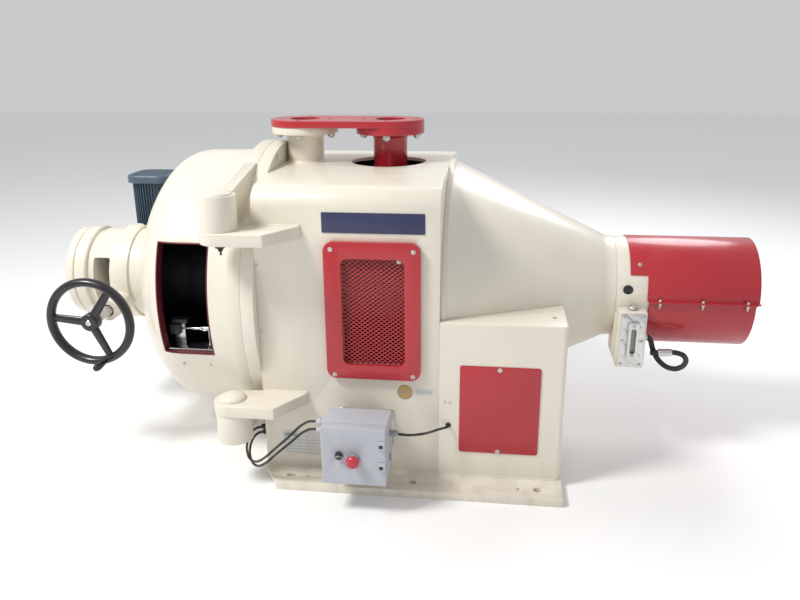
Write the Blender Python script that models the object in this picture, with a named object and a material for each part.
"""Disc refiner mill with a hinged domed door, a plate gap adjuster and a coupling guard.

Metres, +Z up. The shaft lies along X: the drive end is +X and the door end is -X. The side with
the control box is -Y. Z is 0 on the floor, under the base plate.
"""
import math

import bmesh
import bpy
from mathutils import Matrix, Vector

for item in list(bpy.data.objects):
    bpy.data.objects.remove(item, do_unlink=True)

# ---------------------------------------------------------------- driving dimensions
GAP = 0.0003                      # air left between two pieces that touch
AXIS_Z = 0.540                    # height of the shaft

BASE_HALF_LENGTH, BASE_HALF_WIDTH, BASE_THICK = 0.474, 0.555, 0.025
BASE_CHAMFER_X, BASE_CHAMFER_Y = 0.058, 0.092
FOOT_BOLT_Y = 0.505

BODY_HALF_WIDTH = 0.445           # housing and pedestal, across the machine
BODY_X0, BODY_X1 = -0.475, 0.087  # housing, door end and drive end
BODY_SHOULDER_Z, BODY_CROWN_Z, BODY_CORNER_R = 0.872, 0.958, 0.070
WALL = 0.012
PEDESTAL_X1 = 0.470
PEDESTAL_TOP_Z = 0.541

SEAM_X = -0.517                   # where the door meets the housing ring
RING_R, RING_BORE_R = 0.483, 0.418
CHAMBER_R = 0.415
BULKHEAD_X0, BULKHEAD_X1 = -0.300, -0.280

DOOR_R = 0.448
DOOR_FRONT_X = -0.957
RIM_THICK = 0.043
HINGE_X, HINGE_Y, HINGE_R, PIN_R = -0.550, -0.515, 0.055, 0.020
ARM_THICK = 0.038
UPPER_ARM_Z, LOWER_ARM_Z = 0.790, 0.252
UPPER_BARREL_TOP_Z, LOWER_BARREL_BOTTOM_Z = 0.930, 0.155

SHAFT_R = 0.050
DISC_R = 0.280
PLATE_PLANE_X = -0.495            # face of the rotor plate
PLATE_CLEARANCE = 0.001
PLATE_THICK = 0.020
SCREW_R = 0.025
WORM_X, WORM_DROP = -1.065, 0.064
WORM_Z = AXIS_Z - WORM_DROP
HANDWHEEL_Y, HANDWHEEL_R, HANDWHEEL_RIM_R, HANDWHEEL_RIM_DEPTH = -0.385, 0.150, 0.0140, 0.0180
MOTOR_X, MOTOR_Y = -1.085, 0.250

NECK_Z1, FLANGE_THICK, FLANGE_TOP_Z = 1.052, 0.024, 1.076
OUTLET_X, OUTLET_R = -0.411, 0.062
INLET_X, INLET_R = -0.118, 0.0571
PORT_R, FLANGE_R = 0.051, 0.1145
FLANGE_BOLT_PITCH_R, FLANGE_BOLT_R = 0.090, 0.0095
THROAT_R, THROAT_X1 = 0.150, -0.020

CONE_R, CONE_X1 = 0.420, 0.640
NECK_R = 0.1695
GUARD_R, GUARD_X0, GUARD_X1, GUARD_SEAM_Z = 0.1735, 0.682, 1.085, 0.541
GUARD_SHEET, GUARD_DEEPER = 0.003, 0.016

COVER = (0.151, 0.396, 0.111, 0.405)        # side cover: x0, x1, z0, z1
SIGN = (-0.263, 0.043, 0.809, 0.870)
FRAME = (-0.259, 0.031, 0.352, 0.785)
WINDOW = (-0.207, -0.017, 0.398, 0.735)
DOOR_WINDOW = (-0.805, -0.632, 0.394, 0.755)

BOX = (-0.240, -0.050, 0.100, 0.285)
BOX_BACK_Y, BOX_SEAM_Y, BOX_FRONT_Y = -0.530, -0.625, -0.660
ESTOP_X, ESTOP_Z = -0.144, 0.187
SWITCH_X, SWITCH_Z = -0.187, 0.197
LATCH_Z = (0.236, 0.167)

# ---------------------------------------------------------------- materials
COLOURS = {
    "cream": ((0.83, 0.79, 0.69), 0.38, 0.0),
    "red": ((0.52, 0.035, 0.045), 0.35, 0.0),
    "maroon": ((0.13, 0.012, 0.015), 0.5, 0.0),
    "box_grey": ((0.55, 0.57, 0.62), 0.5, 0.0),
    "blue": ((0.03, 0.035, 0.09), 0.4, 0.0),
    "black": ((0.02, 0.02, 0.023), 0.45, 0.0),
    "rubber": ((0.015, 0.015, 0.015), 0.75, 0.0),
    "motor_blue": ((0.07, 0.12, 0.17), 0.5, 0.0),
    "steel": ((0.55, 0.55, 0.56), 0.3, 1.0),
    "dark_steel": ((0.16, 0.16, 0.17), 0.45, 1.0),
    "bronze": ((0.55, 0.34, 0.13), 0.35, 1.0),
    "plate_iron": ((0.32, 0.31, 0.30), 0.4, 1.0),
    "glass": ((0.75, 0.80, 0.78), 0.05, 0.0),
    "button_red": ((0.60, 0.02, 0.03), 0.3, 0.0),
}


def material(name, kind):
    colour, roughness, metallic = COLOURS[kind]
    mat = bpy.data.materials.new(name)
    mat.use_nodes = True
    shader = mat.node_tree.nodes["Principled BSDF"]
    shader.inputs["Base Color"].default_value = (*colour, 1.0)
    shader.inputs["Roughness"].default_value = roughness
    shader.inputs["Metallic"].default_value = metallic
    return mat


# ---------------------------------------------------------------- shape helpers
def revolve(profile, axis="X", centre=(0.0, 0.0), segments=48):
    """A closed profile of (along, radius) points turned about an axis. Radius 0 is a pole."""
    mesh = bmesh.new()
    rings = []
    for along, radius in profile:
        ring = []
        for step in range(segments if radius > 1e-6 else 1):
            angle = 2 * math.pi * (step + 0.5) / segments
            a, b = centre[0] + radius * math.cos(angle), centre[1] + radius * math.sin(angle)
            if radius <= 1e-6:
                a, b = centre
            place = {"X": (along, a, b), "Y": (a, along, b), "Z": (a, b, along)}[axis]
            ring.append(mesh.verts.new(place))
        rings.append(ring)
    count = len(rings)
    closed = profile[0][1] > 1e-6
    for index in range(count if closed else count - 1):
        first, second = rings[index], rings[(index + 1) % count]
        for step in range(segments):
            after = (step + 1) % segments
            corners = [first[step % len(first)], first[after % len(first)],
                       second[after % len(second)], second[step % len(second)]]
            corners = list(dict.fromkeys(corners))
            if len(corners) > 2:
                mesh.faces.new(corners)
    bmesh.ops.recalc_face_normals(mesh, faces=mesh.faces[:])
    return mesh


def tube(r_out, r_in, lo, hi, axis="X", centre=(0.0, 0.0), segments=48):
    if r_in <= 0:
        return revolve([(lo, 0), (lo, r_out), (hi, r_out), (hi, 0)], axis, centre, segments)
    return revolve([(lo, r_in), (lo, r_out), (hi, r_out), (hi, r_in)], axis, centre, segments)


def prism(outline, plane, lo, hi):
    """An outline in a plane ("XY", "XZ" or "YZ") pushed through from lo to hi."""
    mesh = bmesh.new()
    ends = []
    for level in (lo, hi):
        row = []
        for a, b in outline:
            place = {"XY": (a, b, level), "XZ": (a, level, b), "YZ": (level, a, b)}[plane]
            row.append(mesh.verts.new(place))
        mesh.faces.new(row)
        ends.append(row)
    count = len(outline)
    for index in range(count):
        after = (index + 1) % count
        mesh.faces.new([ends[0][index], ends[0][after], ends[1][after], ends[1][index]])
    bmesh.ops.recalc_face_normals(mesh, faces=mesh.faces[:])
    return mesh


def block(x0, x1, y0, y1, z0, z1):
    return prism([(x0, y0), (x1, y0), (x1, y1), (x0, y1)], "XY", z0, z1)


def arc(centre, radius, start, end, steps):
    """Points on an arc, angles in degrees."""
    points = []
    for step in range(steps + 1):
        angle = math.radians(start + (end - start) * step / steps)
        points.append((centre[0] + radius * math.cos(angle), centre[1] + radius * math.sin(angle)))
    return points


def rounded(a0, a1, b0, b1, radius, steps=4):
    corners = [((a1 - radius, b1 - radius), 0), ((a0 + radius, b1 - radius), 90),
               ((a0 + radius, b0 + radius), 180), ((a1 - radius, b0 + radius), 270)]
    points = []
    for centre, start in corners:
        points += arc(centre, radius, start, start + 90, steps)
    return points


def merged(*meshes):
    """Several separate shapes in one mesh, for use as one cutter."""
    whole = bmesh.new()
    for part in meshes:
        holder = bpy.data.meshes.new("holder")
        part.to_mesh(holder)
        part.free()
        whole.from_mesh(holder)
        bpy.data.meshes.remove(holder)
    return whole


def place(name, mesh, kind, origin=(0.0, 0.0, 0.0), smooth=40):
    """Makes the object, with its origin where a joint or a mount needs it."""
    bmesh.ops.translate(mesh, verts=mesh.verts[:], vec=-Vector(origin))
    data = bpy.data.meshes.new(name)
    mesh.to_mesh(data)
    mesh.free()
    obj = bpy.data.objects.new(name, data)
    bpy.context.scene.collection.objects.link(obj)
    obj.location = origin
    if kind:
        data.materials.append(material(name + "_paint", kind))
        if smooth:
            data.shade_smooth()
            bpy.context.view_layer.objects.active = obj
            obj.select_set(True)
            bpy.ops.object.shade_smooth_by_angle(angle=math.radians(smooth))
            obj.select_set(False)
    return obj


def apply_boolean(obj, mesh, operation, label):
    """A Boolean with a hidden helper shape, given in world coordinates."""
    helper = place(obj.name + "_" + label, mesh, None)
    helper.hide_render = True
    helper.display_type = "WIRE"
    step = obj.modifiers.new(label, "BOOLEAN")
    step.operation = operation
    step.solver = "EXACT"
    step.object = helper
    return step


def cut(obj, label, *meshes):
    apply_boolean(obj, merged(*meshes), "DIFFERENCE", label)


def join(obj, label, *meshes):
    for number, mesh in enumerate(meshes):
        apply_boolean(obj, mesh, "UNION", label + str(number))


def ease(obj, width, segments=2):
    """Rounds the sharp edges a little."""
    step = obj.modifiers.new("eased edges", "BEVEL")
    step.width = width
    step.segments = segments
    step.limit_method = "ANGLE"
    step.angle_limit = math.radians(40)
    return step


def empty(name, location, parent=None):
    obj = bpy.data.objects.new(name, None)
    bpy.context.scene.collection.objects.link(obj)
    obj.location = location
    if parent:
        obj.parent = parent
        obj.matrix_parent_inverse = Matrix.Translation(parent.location).inverted()
    return obj


def hang(child, parent):
    """Parents a piece without moving it."""
    bpy.context.view_layer.update()
    child.parent = parent
    child.matrix_parent_inverse = parent.matrix_world.inverted()


AXIS = (0.0, AXIS_Z)              # the shaft's line, for shapes turned about X

# ---------------------------------------------------------------- base plate
chamfered = [(-BASE_HALF_LENGTH, -BASE_HALF_WIDTH + BASE_CHAMFER_Y),
             (-BASE_HALF_LENGTH + BASE_CHAMFER_X, -BASE_HALF_WIDTH),
             (BASE_HALF_LENGTH, -BASE_HALF_WIDTH), (BASE_HALF_LENGTH, BASE_HALF_WIDTH),
             (-BASE_HALF_LENGTH + BASE_CHAMFER_X, BASE_HALF_WIDTH),
             (-BASE_HALF_LENGTH, BASE_HALF_WIDTH - BASE_CHAMFER_Y)]
base_plate = place("base_plate", prism(chamfered, "XY", 0.0, BASE_THICK), "cream")
foot_holes = []
for side in (-1, 1):
    y = side * FOOT_BOLT_Y
    for x, radius in ((-0.323, 0.005), (0.012, 0.011), (0.340, 0.005), (0.398, 0.013)):
        foot_holes.append(tube(radius, 0, -0.01, 0.04, "Z", (x, y), 10))
    foot_holes.append(prism(rounded(-0.396, -0.366, y - 0.009, y + 0.009, 0.0089, 3), "XY", -0.01, 0.04))
cut(base_plate, "foot holes", *foot_holes)

# ---------------------------------------------------------------- main housing
FLOOR = BASE_THICK + GAP


def body_section(inset, bottom):
    """Half-height box with a crowned top, drawn in YZ, smaller by inset all round."""
    half = BODY_HALF_WIDTH - inset
    radius = BODY_CORNER_R - inset
    centre_y = half - radius
    points = [(-half, bottom)]
    points += arc((-centre_y, BODY_SHOULDER_Z), radius, 180, 98, 5)
    shoulder = points[-1]
    crown = BODY_CROWN_Z - inset
    for step in range(1, 10):
        y = shoulder[0] + (0 - 2 * shoulder[0]) * step / 10
        rise = (crown - shoulder[1]) * (1 - (y / shoulder[0]) ** 2)
        points.append((y, shoulder[1] + rise))
    points += arc((centre_y, BODY_SHOULDER_Z), radius, 82, 0, 5)
    points.append((half, bottom))
    return points


main_housing = place("main_housing", prism(body_section(0, FLOOR), "YZ", BODY_X0, BODY_X1), "cream")
cut(main_housing, "chamber", tube(CHAMBER_R, 0, BODY_X0 - 0.02, BULKHEAD_X0, "X", AXIS, 40))
cut(main_housing, "seal bay", prism(body_section(WALL, 0.060), "YZ", BULKHEAD_X1, BODY_X1 - 0.015))
cut(main_housing, "bores",
    tube(THROAT_R - 0.016, 0, BULKHEAD_X0 - 0.01, BULKHEAD_X1 + 0.01, "X", AXIS, 28),
    tube(0.115, 0, BODY_X1 - 0.025, BODY_X1 + 0.01, "X", AXIS, 28),
    tube(PORT_R, 0, 0.90, 1.00, "Z", (OUTLET_X, 0), 24),
    tube(0.127, 0, 0.92, 1.00, "Z", (-0.125, 0), 32),
    prism(rounded(WINDOW[0], WINDOW[1], WINDOW[2], WINDOW[3], 0.010, 3), "XZ", -0.46, -0.42))

# ---------------------------------------------------------------- ring that the door closes on
ring_profile = [(SEAM_X, RING_BORE_R), (SEAM_X, RING_R - 0.002), (SEAM_X + 0.002, RING_R),
                (BODY_X0 - GAP - 0.002, RING_R), (BODY_X0 - GAP, RING_R - 0.002),
                (BODY_X0 - GAP, RING_BORE_R)]
housing_ring = place("housing_flange_ring", revolve(ring_profile, "X", AXIS, 40), "cream")
cut(housing_ring, "eye hole", tube(0.010, 0, SEAM_X - 0.01, BODY_X0 + 0.01, "X", (-0.130, 0.988), 16))

# ---------------------------------------------------------------- pedestal under the bearings
pedestal = place("pedestal", prism(
    [(BODY_X1 + GAP, -BODY_HALF_WIDTH)] +
    arc((PEDESTAL_X1 - 0.020, -BODY_HALF_WIDTH + 0.020), 0.020, -90, 0, 4) +
    arc((PEDESTAL_X1 - 0.020, BODY_HALF_WIDTH - 0.020), 0.020, 0, 90, 4) +
    [(BODY_X1 + GAP, BODY_HALF_WIDTH)], "XY", FLOOR, PEDESTAL_TOP_Z), "cream")
ease(pedestal, 0.004, 2)
cut(pedestal, "hollow", block(BODY_X1 + 0.010, PEDESTAL_X1 - 0.010, -BODY_HALF_WIDTH + 0.010,
                              BODY_HALF_WIDTH - 0.010, 0.0, PEDESTAL_TOP_Z - 0.010))
cut(pedestal, "cradle", revolve(
    [(BODY_X1 - 0.02, 0), (BODY_X1 - 0.02, CONE_R + 0.0056), (0.1050, CONE_R + 0.0056),
     (0.1050, CONE_R - 0.0015 + GAP), (0.5960, 0.181 + 0.0005), (0.5960, 0)], "X", AXIS, 40))

# ---------------------------------------------------------------- bearing housing, cone and collar
cone_profile = [(BODY_X1 + GAP, 0.110), (BODY_X1 + GAP, CONE_R + 0.005), (0.1045, CONE_R + 0.005),
                (0.1045, CONE_R - 0.002), (0.585, 0.1860), (0.600, 0.1785), (0.614, 0.1730),
                (CONE_X1, 0.1705), (CONE_X1, 0.100), (0.575, 0.100), (0.565, 0.150),
                (0.190, 0.345), (0.190, 0.110)]
bearing_cone = place("bearing_cone", revolve(cone_profile, "X", AXIS, 40), "cream")

collar_profile = [(CONE_X1 + GAP, 0.0505), (CONE_X1 + GAP, NECK_R - 0.002), (CONE_X1 + 0.002, NECK_R),
                  (0.745, NECK_R), (0.745, 0.150), (0.700, 0.140), (0.690, 0.120), (0.690, 0.0505)]
neck_ring = place("neck_ring", revolve(collar_profile, "X", AXIS, 32), "cream")
SUMP = [(CONE_X1 + 0.001, 0.500), (CONE_X1 + 0.001, 0.345), (0.655, 0.332), (0.733, 0.332), (0.733, 0.500)]
join(neck_ring, "sump pad", prism(SUMP, "XZ", -NECK_R - 0.0005, -0.075))
cut(neck_ring, "plug hole", tube(0.012, 0, -0.20, -0.13, "Y", (0.676, 0.574), 16))

# ---------------------------------------------------------------- hinge arms and their pins
arm_outline = (arc((HINGE_X, HINGE_Y), 0.058, 270, 90, 10) +
               [(-0.500, -BODY_HALF_WIDTH - GAP), (-0.325, -BODY_HALF_WIDTH - GAP), (-0.405, -0.573)])
for name, low in (("upper_hinge_arm", UPPER_ARM_Z), ("lower_hinge_arm", LOWER_ARM_Z)):
    arm = place(name, prism(arm_outline, "XY", low, low + ARM_THICK), "cream")
    ease(arm, 0.002, 2)
    cut(arm, "pin bore", tube(PIN_R + GAP, 0, low - 0.01, low + ARM_THICK + 0.01, "Z",
                              (HINGE_X, HINGE_Y), 16))


def cap(base, radius, rise):
    """Domed cap as a profile of (z, r)."""
    return [(base + rise * math.sin(math.radians(a)), radius * math.cos(math.radians(a)))
            for a in (0, 22, 45, 66)] + [(base + rise, 0)]


LOWER_CAP_Z = LOWER_ARM_Z + ARM_THICK + GAP
lower_pin = place("lower_hinge_pin", revolve(
    [(LOWER_BARREL_BOTTOM_Z + 0.010, 0), (LOWER_BARREL_BOTTOM_Z + 0.010, PIN_R - GAP),
     (LOWER_CAP_Z, PIN_R - GAP)] + cap(LOWER_CAP_Z, 0.042, 0.020), "Z", (HINGE_X, HINGE_Y), 16), "cream")

# ---------------------------------------------------------------- stock necks on top
bolt_spots = [(math.cos(a) * FLANGE_BOLT_PITCH_R, math.sin(a) * FLANGE_BOLT_PITCH_R)
              for a in (0, math.pi / 2, math.pi, 1.5 * math.pi)]


def flange_holes(x, z0, z1):
    return [tube(FLANGE_BOLT_R, 0, z0, z1, "Z", (x + dx, dy), 10) for dx, dy in bolt_spots]


outlet_neck = place("outlet_neck", revolve(
    [(0.90, PORT_R), (0.90, OUTLET_R), (NECK_Z1 - 0.012, OUTLET_R), (NECK_Z1, OUTLET_R + 0.010),
     (NECK_Z1, FLANGE_R - 0.003), (FLANGE_TOP_Z, FLANGE_R - 0.003), (FLANGE_TOP_Z, PORT_R)],
    "Z", (OUTLET_X, 0), 24), "cream")
cut(outlet_neck, "saddle", prism(body_section(-GAP, 0.5), "YZ", -0.60, -0.20))
cut(outlet_neck, "bolt holes", *flange_holes(OUTLET_X, NECK_Z1 - 0.02, FLANGE_TOP_Z + 0.01))

inlet_neck = place("inlet_neck", revolve(
    [(0.60, PORT_R), (0.60, INLET_R), (NECK_Z1 - 0.012, INLET_R), (NECK_Z1, INLET_R + 0.012),
     (NECK_Z1, FLANGE_R), (FLANGE_TOP_Z, FLANGE_R), (FLANGE_TOP_Z, PORT_R)],
    "Z", (INLET_X, 0), 24), "red")
cut(inlet_neck, "saddle", tube(THROAT_R + GAP, 0, -0.35, 0.05, "X", AXIS, 24))
cut(inlet_neck, "bolt holes", *flange_holes(INLET_X, NECK_Z1 - 0.02, FLANGE_TOP_Z + 0.01))

PORT_PLATE_Z0, PORT_PLATE_Z1 = FLANGE_TOP_Z + GAP, FLANGE_TOP_Z + 0.022
port_outline = (arc((INLET_X, 0), FLANGE_R, -90, 90, 14) + arc((OUTLET_X, 0), FLANGE_R, 90, 270, 14))
port_plate = place("twin_port_plate", prism(port_outline, "XY", PORT_PLATE_Z0, PORT_PLATE_Z1), "red")
ease(port_plate, 0.002, 2)
cut(port_plate, "ports",
    tube(PORT_R, 0, PORT_PLATE_Z0 - 0.01, PORT_PLATE_Z1 + 0.01, "Z", (OUTLET_X, 0), 24),
    tube(PORT_R, 0, PORT_PLATE_Z0 - 0.01, PORT_PLATE_Z1 + 0.01, "Z", (INLET_X, 0), 24),
    *flange_holes(OUTLET_X, PORT_PLATE_Z0 - 0.01, PORT_PLATE_Z1 + 0.01),
    *flange_holes(INLET_X, PORT_PLATE_Z0 - 0.01, PORT_PLATE_Z1 + 0.01))

# ---------------------------------------------------------------- feed throat and shaft seal
throat_profile = [(BULKHEAD_X1 + GAP, THROAT_R - 0.015), (BULKHEAD_X1 + GAP, 0.185),
                  (BULKHEAD_X1 + 0.018, 0.185), (BULKHEAD_X1 + 0.018, THROAT_R),
                  (THROAT_X1, THROAT_R), (THROAT_X1, 0.062), (THROAT_X1 - 0.020, 0.062),
                  (THROAT_X1 - 0.020, THROAT_R - 0.015)]
feed_throat = place("feed_throat", revolve(throat_profile, "X", AXIS, 24), "cream")
cut(feed_throat, "inlet", tube(PORT_R, 0, 0.60, 0.72, "Z", (INLET_X, 0), 24))
seal_gland = place("seal_gland", revolve(
    [(THROAT_X1 + GAP, SHAFT_R + 0.0005), (THROAT_X1 + GAP, 0.090), (THROAT_X1 + 0.014, 0.090),
     (THROAT_X1 + 0.014, 0.070), (THROAT_X1 + 0.040, 0.070), (THROAT_X1 + 0.040, SHAFT_R + 0.0005)],
    "X", AXIS, 32), "bronze")

# ---------------------------------------------------------------- window, sign and side cover
FACE_Y = -BODY_HALF_WIDTH - GAP
window_frame = place("window_frame", prism(rounded(*FRAME, 0.030, 5), "XZ", FACE_Y - 0.017, FACE_Y), "red")
ease(window_frame, 0.003, 2)
cut(window_frame, "opening", prism(rounded(*WINDOW, 0.012, 3), "XZ", -0.50, -0.40))
cut(window_frame, "mesh seat", block(WINDOW[0] - 0.009, WINDOW[1] + 0.009, FACE_Y - 0.003, FACE_Y + 0.01,
                                     WINDOW[2] - 0.009, WINDOW[3] + 0.009))
window_mesh = place("window_mesh", block(WINDOW[0] - 0.009 + GAP, WINDOW[1] + 0.009 - GAP, FACE_Y - 0.003 + GAP,
                                         FACE_Y - GAP, WINDOW[2] - 0.009 + GAP, WINDOW[3] + 0.009 - GAP), "red")
diamonds = []
MESH_PITCH_X, MESH_PITCH_Z = 0.0470, 0.0480
for row in range(14):
    for column in range(5):
        x = WINDOW[0] + MESH_PITCH_X * (column + (0.5 if row % 2 else 0.0))
        z = WINDOW[2] + MESH_PITCH_Z / 2 * (row + 0.87)
        if WINDOW[0] + 0.014 < x < WINDOW[1] - 0.014 and WINDOW[2] + 0.008 < z < WINDOW[3] - 0.008:
            half_x, half_z = MESH_PITCH_X / 2 - 0.0040, MESH_PITCH_Z / 2 - 0.0036
            diamonds.append(prism([(x - half_x, z), (x, z - half_z), (x + half_x, z), (x, z + half_z)],
                                  "XZ", -0.46, -0.43))
cut(window_mesh, "diamonds", *diamonds)

sign_plate = place("sign_plate", prism(rounded(*SIGN, 0.003, 2), "XZ", FACE_Y - 0.002, FACE_Y), "blue")
side_cover = place("side_cover_plate", prism(rounded(*COVER, 0.008, 3), "XZ", FACE_Y - 0.003, FACE_Y), "red")

# ---------------------------------------------------------------- oil sight block
BLOCK_Y1 = -NECK_R - 0.0005 - GAP
BLOCK_Y0 = BLOCK_Y1 - 0.060
oil_block = place("oil_sight_block", block(0.645, 0.733, BLOCK_Y0, BLOCK_Y1, 0.330, 0.520), "cream")
ease(oil_block, 0.004, 2)
sight_plate = place("sight_front_plate", prism(rounded(0.650, 0.728, 0.335, 0.515, 0.006, 3), "XZ",
                                               BLOCK_Y0 - GAP - 0.008, BLOCK_Y0 - GAP), "steel")
ease(sight_plate, 0.0015, 2)
cut(sight_plate, "slot", prism(rounded(0.680, 0.702, 0.372, 0.482, 0.0108, 4), "XZ", -0.26, -0.23))
sight_glass = place("sight_glass", prism(rounded(0.680 + GAP, 0.702 - GAP, 0.372 + GAP, 0.482 - GAP, 0.0105, 4),
                                         "XZ", BLOCK_Y0 - GAP - 0.006, BLOCK_Y0 - GAP), "glass")
filler_cap = place("oil_filler_cap", revolve(
    [(0.520 + GAP, 0), (0.520 + GAP, 0.010), (0.524, 0.010), (0.524, 0.0145), (0.534, 0.0145), (0.536, 0.012),
     (0.536, 0)], "Z", (0.690, BLOCK_Y0 + 0.030), 20), "steel")

# ---------------------------------------------------------------- coupling guard, two half shells
FLANGE_OUT = 0.017
half_shell_upper = ([(-GUARD_R - FLANGE_OUT, GUARD_SEAM_Z), (-GUARD_R - FLANGE_OUT, GUARD_SEAM_Z + GUARD_SHEET)] +
                    [(y, z + AXIS_Z) for y, z in arc((0, 0), GUARD_R, 178.6, 1.4, 20)] +
                    [(GUARD_R + FLANGE_OUT, GUARD_SEAM_Z + GUARD_SHEET), (GUARD_R + FLANGE_OUT, GUARD_SEAM_Z)] +
                    [(y, z + AXIS_Z) for y, z in arc((0, 0), GUARD_R - GUARD_SHEET, 0.34, 179.66, 20)])
guard_upper = place("guard_upper", prism(half_shell_upper, "YZ", GUARD_X0, GUARD_X1), "red")
cut(guard_upper, "notch", block(0.60, 0.738, -0.30, 0.30, 0.50, 0.620))
low_z = GUARD_SEAM_Z - GAP
half_shell_lower = ([(-GUARD_R - FLANGE_OUT, low_z), (-GUARD_R - FLANGE_OUT, low_z - GUARD_SHEET),
                     (-GUARD_R, low_z - GUARD_SHEET)] +
                    [(y, z + AXIS_Z) for y, z in arc((0, -GUARD_DEEPER), GUARD_R, 180, 360, 20)] +
                    [(GUARD_R, low_z - GUARD_SHEET), (GUARD_R + FLANGE_OUT, low_z - GUARD_SHEET),
                     (GUARD_R + FLANGE_OUT, low_z), (GUARD_R - GUARD_SHEET, low_z)] +
                    [(y, z + AXIS_Z) for y, z in arc((0, -GUARD_DEEPER), GUARD_R - GUARD_SHEET, 360, 180, 20)] +
                    [(-GUARD_R + GUARD_SHEET, low_z)])
guard_lower = place("guard_lower", prism(half_shell_lower, "YZ", 0.745, GUARD_X1 - 0.010), "red")

# ---------------------------------------------------------------- control box on its bracket
hat = [(-0.235, FACE_Y), (-0.235, FACE_Y - 0.004), (-0.215, FACE_Y - 0.004), (-0.215, BOX_BACK_Y + GAP),
       (-0.075, BOX_BACK_Y + GAP), (-0.075, FACE_Y - 0.004), (-0.055, FACE_Y - 0.004), (-0.055, FACE_Y),
       (-0.079, FACE_Y), (-0.079, BOX_BACK_Y + 0.004), (-0.211, BOX_BACK_Y + 0.004), (-0.211, FACE_Y)]
box_bracket = place("box_bracket", prism(hat, "XY", 0.125, 0.260), "steel")
control_box = place("control_box", block(BOX[0], BOX[1], BOX_SEAM_Y, BOX_BACK_Y, BOX[2], BOX[3]), "box_grey")
ease(control_box, 0.003, 2)
cut(control_box, "inside", block(BOX[0] + 0.003, BOX[1] - 0.003, BOX_SEAM_Y - 0.01, BOX_BACK_Y - 0.003,
                                 BOX[2] + 0.003, BOX[3] - 0.003))
CABLE_GLAND_X = BOX[0] - GAP
gland_plate = place("left_gland_plate", prism(rounded(-0.600, -0.560, 0.215, 0.278, 0.005, 2), "YZ",
                                              CABLE_GLAND_X - 0.004, CABLE_GLAND_X), "box_grey")
for number, z in enumerate((0.260, 0.234)):
    join(gland_plate, "gland" + str(number), revolve(
        [(CABLE_GLAND_X - 0.002, 0.0048), (CABLE_GLAND_X - 0.002, 0.0105), (CABLE_GLAND_X - 0.022, 0.0105),
         (CABLE_GLAND_X - 0.030, 0.0070), (CABLE_GLAND_X - 0.030, 0.0048)], "X", (-0.580, z), 16))

# ---------------------------------------------------------------- door: dome, rim, hinge barrels
dome_profile = [
    (SEAM_X - GAP, 0.436), (SEAM_X - GAP, RING_R - 0.002), (SEAM_X - GAP - 0.002, RING_R),
    (SEAM_X - RIM_THICK + 0.002, RING_R), (SEAM_X - RIM_THICK, RING_R - 0.002),
    (SEAM_X - RIM_THICK, DOOR_R + 0.003), (-0.750, DOOR_R - 0.001),
    (-0.800, 0.4385), (-0.840, 0.4140), (-0.875, 0.3760), (-0.905, 0.3290), (-0.926, 0.2830),
    (-0.945, 0.2270), (DOOR_FRONT_X, 0.1760), (DOOR_FRONT_X, 0.1050),
    (-0.720, 0.1050), (-0.720, 0.1250), (-0.930, 0.1250), (-0.936, 0.1700), (-0.920, 0.2450),
    (-0.895, 0.3120), (-0.860, 0.3700), (-0.815, 0.4120), (-0.754, 0.4330)]
door_dome = place("door_dome", revolve(dome_profile, "X", AXIS, 40), "cream", (HINGE_X, HINGE_Y, AXIS_Z))
cut(door_dome, "window", prism(rounded(*DOOR_WINDOW, 0.004, 2), "XZ", -0.50, -0.33))

LINER = (DOOR_WINDOW[0] + GAP, DOOR_WINDOW[1] - GAP, DOOR_WINDOW[2] + GAP, DOOR_WINDOW[3] - GAP)
window_liner = place("door_window_liner", revolve(
    [(-0.610, 0.418), (-0.610, DOOR_R + 0.001), (-0.750, DOOR_R), (-0.800, 0.4400), (-0.830, 0.4220),
     (-0.830, 0.3920), (-0.754, 0.4180)], "X", AXIS, 40), "maroon",
                     (HINGE_X, HINGE_Y, AXIS_Z))
apply_boolean(window_liner, prism(rounded(*LINER, 0.004, 2), "XZ", -0.50, -0.33), "INTERSECT", "outside")
cut(window_liner, "inside", prism(rounded(LINER[0] + 0.004, LINER[1] - 0.004, LINER[2] + 0.004,
                                          LINER[3] - 0.004, 0.003, 2), "XZ", -0.52, -0.30))

SENSOR_Z = DOOR_WINDOW[2] + 0.004 + 2 * GAP
sensor = place("gap_sensor_bracket", block(-0.795, -0.645, -0.405, -0.340, SENSOR_Z, SENSOR_Z + 0.005), "steel",
               (HINGE_X, HINGE_Y, AXIS_Z))
join(sensor, "part", block(-0.790, -0.750, -0.362, -0.357, SENSOR_Z + 0.001, SENSOR_Z + 0.080),
     tube(0.0045, 0, -0.775, -0.655, "X", (-0.3595, SENSOR_Z + 0.060), 12),
     tube(0.0085, 0, -0.692, -0.664, "X", (-0.3595, SENSOR_Z + 0.060), 6),
     tube(0.0025, 0, SENSOR_Z + 0.002, SENSOR_Z + 0.060, "Z", (-0.672, -0.3595), 8))

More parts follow.
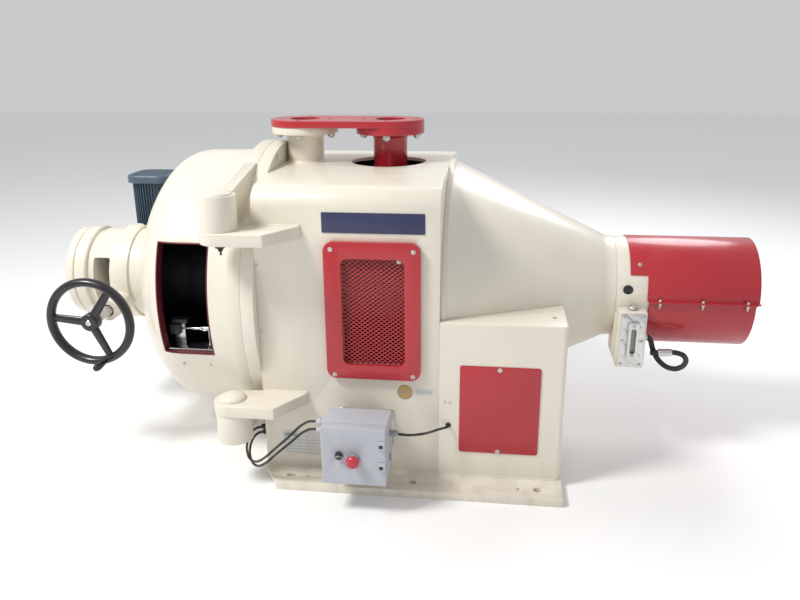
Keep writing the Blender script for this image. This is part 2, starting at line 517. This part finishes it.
barrel_places = (
    ("upper_hinge_barrel", UPPER_ARM_Z + ARM_THICK + GAP, UPPER_BARREL_TOP_Z,
     [(-0.545, UPPER_ARM_Z + ARM_THICK + GAP), (-0.545, 0.918), (-0.470, 0.930), (-0.300, 0.962), (-0.215, 0.978),
      (-0.215, 0.940), (-0.340, UPPER_ARM_Z + ARM_THICK + GAP)]),
    ("lower_hinge_barrel", LOWER_BARREL_BOTTOM_Z, LOWER_ARM_Z - GAP,
     [(-0.545, LOWER_ARM_Z - GAP), (-0.545, 0.160), (-0.440, 0.150), (-0.310, 0.140), (-0.230, 0.142),
      (-0.230, 0.170), (-0.340, LOWER_ARM_Z - GAP)]))
for name, low, high, web in barrel_places:
    barrel = place(name, tube(HINGE_R, 0, low, high, "Z", (HINGE_X, HINGE_Y), 20), "cream",
                   (HINGE_X, HINGE_Y, AXIS_Z))
    join(barrel, "web", prism(web, "YZ", SEAM_X - RIM_THICK + 0.003, SEAM_X - 0.004))
    cut(barrel, "door", tube(RING_R + GAP, 0, -0.60, -0.45, "X", AXIS, 40))
    cut(barrel, "pin bore", tube(PIN_R + GAP, 0, low - 0.01, high + 0.01, "Z", (HINGE_X, HINGE_Y), 16))

UPPER_CAP_Z = UPPER_BARREL_TOP_Z + GAP
upper_pin = place("upper_hinge_pin", revolve(
    [(0.752, 0), (0.752, 0.0045), (0.762, 0.0045), (0.762, 0.0160), (UPPER_ARM_Z - GAP, 0.0160),
     (UPPER_ARM_Z - GAP, PIN_R - GAP), (UPPER_CAP_Z, PIN_R - GAP)] + cap(UPPER_CAP_Z, 0.046, 0.017),
    "Z", (HINGE_X, HINGE_Y), 16), "cream", (HINGE_X, HINGE_Y, AXIS_Z))

# ---------------------------------------------------------------- gap adjuster on the door's nose
HUB_X1 = DOOR_FRONT_X - GAP
hub_profile = [
    (HUB_X1, 0.1070), (HUB_X1, 0.1760), (-0.9720, 0.1690), (-1.0280, 0.1620), (-1.0350, 0.1620), (-1.0350, 0.1690),
    (-1.0370, 0.1710), (-1.0880, 0.1710), (-1.0900, 0.1690), (-1.0900, 0.1600), (-1.1697, 0.1600),
    (-1.1697, 0.1350), (-1.1000, 0.1350), (-1.1000, 0.0300), (-1.0890, 0.0300), (-1.0890, 0.0435),
    (-1.0410, 0.0435), (-1.0410, 0.0300), (-1.0250, 0.0300), (-1.0250, 0.1070)]
adjuster_hub = place("adjuster_hub", revolve(hub_profile, "X", AXIS, 28), "cream", (WORM_X, 0, AXIS_Z))
join(adjuster_hub, "boss", tube(0.036, 0, -0.270, -0.125, "Y", (WORM_X, WORM_Z), 16),
     tube(0.045, 0, 0.125, 0.180, "Y", (WORM_X, WORM_Z), 16),
     revolve([(0.690, 0), (0.690, 0.030), (0.7135, 0.030), (0.7160, 0.027), (0.7160, 0)], "Z", (-1.062, 0), 24))
cut(adjuster_hub, "worm bore", tube(0.0212, 0, -0.28, 0.20, "Y", (WORM_X, WORM_Z), 16))
cut(adjuster_hub, "yoke windows", block(-1.1650, -1.1050, -0.20, 0.20, 0.455, 0.625))
hub_cover = place("hub_end_cover", revolve(
    [(-1.2710, 0), (-1.2710, 0.1570), (-1.2670, 0.1620), (-1.2400, 0.1640), (-1.2380, 0.1600), (-1.2360, 0.1600),
     (-1.2340, 0.1650), (-1.1960, 0.1660), (-1.1930, 0.1630), (-1.1930, 0.1520), (-1.1700, 0.1520),
     (-1.1700, 0.0400), (-1.2100, 0.0400), (-1.2100, 0)], "X", AXIS, 28), "cream", (WORM_X, 0, AXIS_Z))

# ---------------------------------------------------------------- gear case and motor, far side
CASE_Y0 = 0.180 + GAP
gear_case = place("gear_case", block(-1.150, -1.021, CASE_Y0, 0.325, 0.410, 0.565), "motor_blue",
                  (MOTOR_X, MOTOR_Y, WORM_Z))
ease(gear_case, 0.010, 3)
cut(gear_case, "worm bore", tube(0.0185, 0, 0.17, 0.34, "Y", (WORM_X, WORM_Z), 20))
MOTOR_FIN_R, COWL_Z0, COWL_Z1, COWL_HALF = 0.0865, 0.838, 0.868, 0.089
motor_profile = [(0.5653, 0), (0.5653, 0.074), (0.580, 0.074), (0.580, 0.062), (0.605, 0.062),
                 (0.605, MOTOR_FIN_R), (COWL_Z0, MOTOR_FIN_R), (COWL_Z0, 0)]
motor = place("motor_body", revolve(motor_profile, "Z", (MOTOR_X, MOTOR_Y), 24), "motor_blue",
              (MOTOR_X, MOTOR_Y, WORM_Z))
fin_cutters = []
for number in range(16):
    angle = 2 * math.pi * (number + 0.5) / 16
    fin = block(MOTOR_FIN_R - 0.006, 0.100, -0.0045, 0.0045, 0.615, COWL_Z0 - 0.010)
    bmesh.ops.rotate(fin, verts=fin.verts[:], cent=(0, 0, 0), matrix=Matrix.Rotation(angle, 3, "Z"))
    bmesh.ops.translate(fin, verts=fin.verts[:], vec=(MOTOR_X, MOTOR_Y, 0))
    fin_cutters.append(fin)
cut(motor, "cooling grooves", *fin_cutters)
fan_cowl = place("fan_cowl", prism(rounded(MOTOR_X - COWL_HALF, MOTOR_X + COWL_HALF, MOTOR_Y - COWL_HALF,
                                           MOTOR_Y + COWL_HALF, 0.050, 5), "XY", COWL_Z0 + GAP, COWL_Z1), "motor_blue",
                 (MOTOR_X, MOTOR_Y, WORM_Z))
ease(fan_cowl, 0.006, 3)
cut(fan_cowl, "slots", *[block(MOTOR_X - 0.070, MOTOR_X + 0.070, MOTOR_Y - 0.062 + 0.0230 * n,
                               MOTOR_Y - 0.054 + 0.0230 * n, COWL_Z1 - 0.008, 0.90) for n in range(6)])

# ---------------------------------------------------------------- worm shaft, handwheel and grip
worm_profile = [(HANDWHEEL_Y - 0.018, 0), (HANDWHEEL_Y - 0.018, 0.0100), (-0.3600, 0.0100), (-0.3600, 0.0180),
                (-0.0700, 0.0180), (-0.0650, 0.0205), (0.0650, 0.0205), (0.0700, 0.0180), (0.3300, 0.0180),
                (0.3300, 0)]
worm_shaft = place("worm_shaft", revolve(worm_profile, "Y", (WORM_X, WORM_Z), 20), "steel",
                   (WORM_X, HANDWHEEL_Y, WORM_Z))
rim = [(HANDWHEEL_Y + HANDWHEEL_RIM_DEPTH * math.sin(a), HANDWHEEL_R - HANDWHEEL_RIM_R + HANDWHEEL_RIM_R * math.cos(a))
       for a in [2 * math.pi * n / 8 for n in range(8)]]
handwheel = place("handwheel", revolve(rim, "Y", (WORM_X, WORM_Z), 32), "black", (WORM_X, HANDWHEEL_Y, WORM_Z))
spokes = []
for angle in (55, 175, 295):
    spoke = prism([(0.014, -0.0150), (0.136, -0.0125), (0.136, 0.0125), (0.014, 0.0150)], "XZ", -0.008, 0.008)
    bmesh.ops.rotate(spoke, verts=spoke.verts[:], cent=(0, 0, 0), matrix=Matrix.Rotation(-math.radians(angle), 3, "Y"))
    bmesh.ops.translate(spoke, verts=spoke.verts[:], vec=(WORM_X, HANDWHEEL_Y, WORM_Z))
    spokes.append(spoke)
join(handwheel, "spoke", *spokes,
     tube(0.030, 0, HANDWHEEL_Y - 0.014, HANDWHEEL_Y + 0.022, "Y", (WORM_X, WORM_Z), 16))
cut(handwheel, "shaft bore", tube(0.0103, 0, -0.45, -0.36 + GAP, "Y", (WORM_X, WORM_Z), 16))
GRIP_ANGLE, GRIP_RING_R = math.radians(287), 0.1375
GRIP_X, GRIP_Z = WORM_X + GRIP_RING_R * math.cos(GRIP_ANGLE), WORM_Z + GRIP_RING_R * math.sin(GRIP_ANGLE)
grip_low = HANDWHEEL_Y - HANDWHEEL_RIM_DEPTH - GAP
wheel_grip = place("wheel_grip", revolve(
    [(grip_low, 0), (grip_low, 0.0085), (grip_low - 0.012, 0.0100), (grip_low - 0.040, 0.0125),
     (grip_low - 0.056, 0.0115), (grip_low - 0.062, 0.0070), (grip_low - 0.062, 0)],
    "Y", (GRIP_X, GRIP_Z), 16), "black", (GRIP_X, HANDWHEEL_Y, GRIP_Z))

# ---------------------------------------------------------------- worm wheel and sliding head
worm_wheel = place("worm_wheel", tube(0.0430, SCREW_R + 0.0010, -1.0887, -1.0413, "X", AXIS, 24), "bronze",
                   (WORM_X, 0, AXIS_Z))
STATOR_X1 = PLATE_PLANE_X - PLATE_CLEARANCE
HEAD_X1 = STATOR_X1 - PLATE_THICK - GAP
sliding_head = place("sliding_head", revolve(
    [(HEAD_X1, 0), (HEAD_X1, DISC_R), (HEAD_X1 - 0.035, DISC_R), (HEAD_X1 - 0.045, 0.130), (-0.700, 0.1038),
     (-0.950, 0.1038), (-0.950, SCREW_R), (-1.165, SCREW_R), (-1.165, 0)], "X", AXIS, 32), "dark_steel",
    (WORM_X, 0, AXIS_Z))


def plate_ring(lo, hi):
    return tube(DISC_R, 0.110, lo, hi, "X", AXIS, 36)


def bar_grooves(lo, hi):
    grooves = []
    for number in range(12):
        groove = block(lo, hi, 0.140, 0.262, -0.004, 0.004)
        turn = Matrix.Rotation(2 * math.pi * number / 12, 3, "X")
        bmesh.ops.rotate(groove, verts=groove.verts[:], cent=(0, 0, 0), matrix=turn)
        bmesh.ops.translate(groove, verts=groove.verts[:], vec=(0, 0, AXIS_Z))
        grooves.append(groove)
    return grooves


stator_plate = place("stator_plate", plate_ring(STATOR_X1 - PLATE_THICK, STATOR_X1), "plate_iron",
                     (WORM_X, 0, AXIS_Z))
cut(stator_plate, "grooves", *bar_grooves(STATOR_X1 - 0.006, STATOR_X1 + 0.01))

# ---------------------------------------------------------------- rotor: shaft, disc, plate, coupling
ROTOR_BACK_X = PLATE_PLANE_X + PLATE_THICK + GAP
main_shaft = place("main_shaft", revolve(
    [(ROTOR_BACK_X + 0.002, 0), (ROTOR_BACK_X + 0.002, 0.040), (-0.4300, 0.040), (-0.4300, SHAFT_R), (0.7800, SHAFT_R),
     (0.7800, 0.042), (0.9300, 0.042), (0.9300, 0)], "X", AXIS, 32), "steel", (0, 0, AXIS_Z))
rotor_disc = place("rotor_disc", revolve(
    [(ROTOR_BACK_X, 0.0403), (ROTOR_BACK_X, DISC_R), (ROTOR_BACK_X + 0.030, DISC_R), (ROTOR_BACK_X + 0.042, 0.085),
     (-0.4303, 0.085), (-0.4303, 0.0403)], "X", AXIS, 36), "dark_steel", (0, 0, AXIS_Z))
rotor_plate = place("rotor_plate", plate_ring(PLATE_PLANE_X, PLATE_PLANE_X + PLATE_THICK), "plate_iron",
                    (0, 0, AXIS_Z))
cut(rotor_plate, "grooves", *bar_grooves(PLATE_PLANE_X - 0.01, PLATE_PLANE_X + 0.006))
coupling = place("coupling_hub", revolve(
    [(0.8000, 0.0423), (0.8000, 0.075), (0.8900, 0.075), (0.8900, 0.120), (0.9200, 0.120), (0.9300, 0.116),
     (0.9300, 0.0423)], "X", AXIS, 32), "dark_steel", (0, 0, AXIS_Z))
front_bearing = place("front_bearing", tube(0.1090, SHAFT_R + 0.0006, 0.110, 0.185, "X", AXIS, 28), "steel")
rear_bearing = place("rear_bearing", tube(0.0990, SHAFT_R + 0.0006, 0.580, 0.635, "X", AXIS, 28), "steel")

# ---------------------------------------------------------------- box lid, latches, switch, button
lid = place("box_lid", block(BOX[0], BOX[1], BOX_FRONT_Y, BOX_SEAM_Y - GAP, BOX[2], BOX[3]), "box_grey",
            (BOX[0], BOX_SEAM_Y - GAP, 0.1925))
ease(lid, 0.004, 2)
cut(lid, "inside", block(BOX[0] + 0.003, BOX[1] - 0.003, BOX_FRONT_Y + 0.004, BOX_SEAM_Y + 0.01,
                         BOX[2] + 0.003, BOX[3] - 0.003))
cut(lid, "control holes", tube(0.0113, 0, -0.68, -0.64, "Y", (ESTOP_X, ESTOP_Z), 20),
    tube(0.0063, 0, -0.68, -0.64, "Y", (SWITCH_X, SWITCH_Z), 16))
LATCH_PIVOT_X, LATCH_PIVOT_Y = BOX[1] - 0.002, BOX_FRONT_Y - 0.004
for name, z in zip(("latch_upper", "latch_lower"), LATCH_Z):
    latch = place(name, block(LATCH_PIVOT_X - 0.020, LATCH_PIVOT_X + 0.002, BOX_FRONT_Y - 0.0075,
                              BOX_FRONT_Y - GAP, z - 0.012, z + 0.012), "box_grey",
                  (LATCH_PIVOT_X, LATCH_PIVOT_Y, z))
    ease(latch, 0.001, 2)
estop = place("estop_button", revolve(
    [(-0.694, 0), (-0.693, 0.012), (-0.689, 0.018), (-0.683, 0.020), (-0.677, 0.019), (-0.676, 0.0110),
     (-0.645, 0.0110), (-0.645, 0)], "Y", (ESTOP_X, ESTOP_Z), 24), "button_red", (ESTOP_X, -0.676, ESTOP_Z))
switch = place("selector_switch", revolve(
    [(-0.671, 0), (-0.671, 0.0100), (-0.669, 0.0115), (BOX_FRONT_Y - GAP, 0.0115), (BOX_FRONT_Y - GAP, 0.0060),
     (-0.645, 0.0060), (-0.645, 0)], "Y", (SWITCH_X, SWITCH_Z), 20), "black", (SWITCH_X, -0.661, SWITCH_Z))


# ---------------------------------------------------------------- cables and drain hose
def smooth_route(points, steps):
    """A Catmull-Rom curve through the points, sampled evenly between each pair."""
    padded = [points[0]] + list(points) + [points[-1]]
    route = []
    for index in range(len(points) - 1):
        p0, p1, p2, p3 = (Vector(p) for p in padded[index:index + 4])
        for step in range(steps):
            t = step / steps
            route.append(0.5 * (2 * p1 + (p2 - p0) * t + (2 * p0 - 5 * p1 + 4 * p2 - p3) * t * t
                                + (3 * p1 - p0 - 3 * p2 + p3) * t ** 3))
    route.append(Vector(points[-1]))
    return route


def cord(name, points, radius, steps, kind="rubber"):
    curve = bpy.data.curves.new(name, "CURVE")
    curve.dimensions = "3D"
    route = smooth_route(points, steps)
    line = curve.splines.new("POLY")
    line.points.add(len(route) - 1)
    for point, spot in zip(line.points, route):
        point.co = (*spot, 1.0)
    curve.bevel_depth = radius
    curve.bevel_resolution = 2
    curve.use_fill_caps = True
    obj = bpy.data.objects.new(name, curve)
    bpy.context.scene.collection.objects.link(obj)
    curve.materials.append(material(name + "_sheath", kind))
    return obj


CABLE_R = 0.0040
LEFT_ROUTE_UPPER = [
    (-0.262, -0.580, 0.260), (-0.280, -0.580, 0.260), (-0.298, -0.580, 0.257), (-0.324, -0.578, 0.238), (-0.360, -0.574, 0.200),
    (-0.405, -0.566, 0.155), (-0.450, -0.552, 0.108), (-0.488, -0.528, 0.078), (-0.520, -0.494, 0.070),
    (-0.540, -0.456, 0.082), (-0.540, -0.428, 0.108), (-0.524, -0.412, 0.130), (-0.500, -0.405, 0.137),
    (-0.4757, -0.404, 0.138)]
LEFT_ROUTE_LOWER = [
    (-0.262, -0.580, 0.234), (-0.280, -0.580, 0.234), (-0.297, -0.580, 0.231), (-0.322, -0.579, 0.214), (-0.356, -0.576, 0.181),
    (-0.400, -0.569, 0.139), (-0.444, -0.554, 0.093), (-0.482, -0.526, 0.062), (-0.514, -0.488, 0.053),
    (-0.534, -0.448, 0.064), (-0.536, -0.418, 0.086), (-0.522, -0.400, 0.106), (-0.500, -0.393, 0.112),
    (-0.4757, -0.392, 0.113)]
RIGHT_ROUTE = [(-0.0488, -0.575, 0.232), (-0.020, -0.573, 0.228), (0.015, -0.555, 0.218), (0.055, -0.520, 0.208),
               (0.090, -BODY_HALF_WIDTH - 0.037, 0.203), (0.1145, -BODY_HALF_WIDTH - 0.015, 0.201),
               (0.1170, -BODY_HALF_WIDTH - 0.0018, 0.201)]
cable_upper = cord("cable_left_upper", LEFT_ROUTE_UPPER, CABLE_R, 2)
cable_lower = cord("cable_left_lower", LEFT_ROUTE_LOWER, CABLE_R, 2)
cable_right = cord("cable_right", RIGHT_ROUTE, CABLE_R, 2)
HOSE_ROUTE = [
    (0.7340, -0.190, 0.425), (0.746, -0.190, 0.424), (0.757, -0.190, 0.412), (0.764, -0.190, 0.390),
    (0.774, -0.190, 0.366), (0.791, -0.190, 0.341), (0.815, -0.190, 0.322), (0.843, -0.191, 0.316),
    (0.866, -0.194, 0.328), (0.873, -0.198, 0.349), (0.862, -0.203, 0.369), (0.838, -0.207, 0.379),
    (0.808, -0.209, 0.380), (0.778, -0.209, 0.378), (0.756, -0.209, 0.376)]
hose = cord("drain_hose", HOSE_ROUTE, 0.0085, 2)

# ---------------------------------------------------------------- what moves with what
door_axis = empty("door_axis", (HINGE_X, HINGE_Y, AXIS_Z))
for piece in (door_dome, window_liner, sensor, upper_pin, adjuster_hub, hub_cover, gear_case, motor, fan_cowl,
              bpy.data.objects["upper_hinge_barrel"], bpy.data.objects["lower_hinge_barrel"]):
    hang(piece, door_axis)
worm_axis = empty("worm_axis", (WORM_X, HANDWHEEL_Y, WORM_Z), door_axis)
for piece in (worm_shaft, handwheel, wheel_grip):
    hang(piece, worm_axis)
head_axis = empty("head_axis", (WORM_X, 0, AXIS_Z), door_axis)
for piece in (worm_wheel, sliding_head, stator_plate):
    hang(piece, head_axis)
rotor_axis = empty("rotor_axis", (0, 0, AXIS_Z))
for piece in (main_shaft, rotor_disc, rotor_plate, coupling):
    hang(piece, rotor_axis)
for piece in (bpy.data.objects["latch_upper"], bpy.data.objects["latch_lower"], estop, switch):
    hang(piece, lid)
